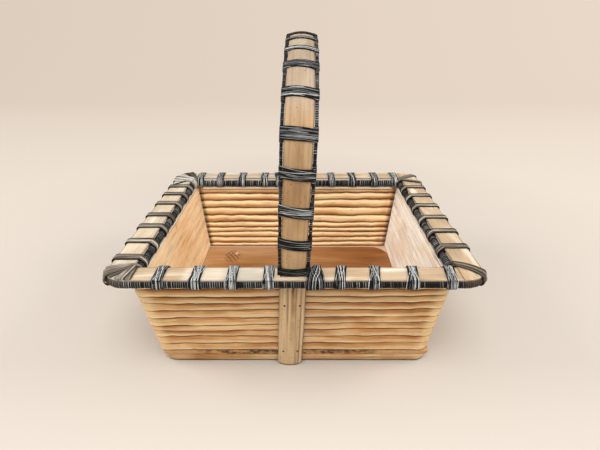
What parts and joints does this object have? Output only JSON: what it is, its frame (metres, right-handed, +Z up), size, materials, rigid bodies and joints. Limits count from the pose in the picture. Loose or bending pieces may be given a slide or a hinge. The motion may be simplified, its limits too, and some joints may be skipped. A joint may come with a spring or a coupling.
{
  "type": "rectangular basket with hoop handle",
  "caption": "Open rectangular cane basket with stacked rod walls, a wide slatted rim bound with dark vine, a flat base board and a tall hoop handle.",
  "frame": {"origin": "middle of the basket on the ground, under the centre of its bounding box", "axes": "+Z up, +X along the long side of the rim, -Y towards the front wall"},
  "size_m": [0.4074, 0.3588, 0.3643],
  "materials": {
    "peeled_cane": "smooth satin peeled cane",
    "pale_slat": "pale scraped bamboo, matt",
    "bamboo_lath": "split bamboo, satin",
    "stained_board": "red-brown stained board, matt",
    "dark_vine": "dark split vine with grey highlights",
    "dark_nail": "dark oxidised pin"
  },
  "bodies": {
    "root": {"front_rod_01": "peeled_cane", "front_rod_02": "peeled_cane", "front_rod_03": "peeled_cane", "front_rod_04": "peeled_cane", "front_rod_05": "peeled_cane", "front_rod_06": "peeled_cane", "front_rod_07": "peeled_cane", "front_rod_08": "peeled_cane", "front_rod_09": "peeled_cane", "front_rod_10": "peeled_cane", "back_rod_01": "peeled_cane", "back_rod_02": "peeled_cane", "back_rod_03": "peeled_cane", "back_rod_04": "peeled_cane", "back_rod_05": "peeled_cane", "back_rod_06": "peeled_cane", "back_rod_07": "peeled_cane", "back_rod_08": "peeled_cane", "back_rod_09": "peeled_cane", "back_rod_10": "peeled_cane", "left_rod_01": "peeled_cane", "left_rod_02": "peeled_cane", "left_rod_03": "peeled_cane", "left_rod_04": "peeled_cane", "left_rod_05": "peeled_cane", "left_rod_06": "peeled_cane", "left_rod_07": "peeled_cane", "left_rod_08": "peeled_cane", "left_rod_09": "peeled_cane", "left_rod_10": "peeled_cane", "right_rod_01": "peeled_cane", "right_rod_02": "peeled_cane", "right_rod_03": "peeled_cane", "right_rod_04": "peeled_cane", "right_rod_05": "peeled_cane", "right_rod_06": "peeled_cane", "right_rod_07": "peeled_cane", "right_rod_08": "peeled_cane", "right_rod_09": "peeled_cane", "right_rod_10": "peeled_cane", "base_hoop": "peeled_cane", "top_reed": "peeled_cane", "base_board": "stained_board", "front_rim_slat": "pale_slat", "back_rim_slat": "pale_slat", "left_rim_slat": "pale_slat", "right_rim_slat": "pale_slat", "rim_lashing": "dark_vine", "handle_lath": "bamboo_lath", "handle_lashing": "dark_vine", "front_nail_upper_left": "dark_nail", "front_nail_upper_right": "dark_nail", "front_nail_lower_left": "dark_nail", "front_nail_lower_right": "dark_nail", "back_nail_upper_left": "dark_nail", "back_nail_upper_right": "dark_nail", "back_nail_lower_left": "dark_nail", "back_nail_lower_right": "dark_nail"}
  },
  "joints": []
}
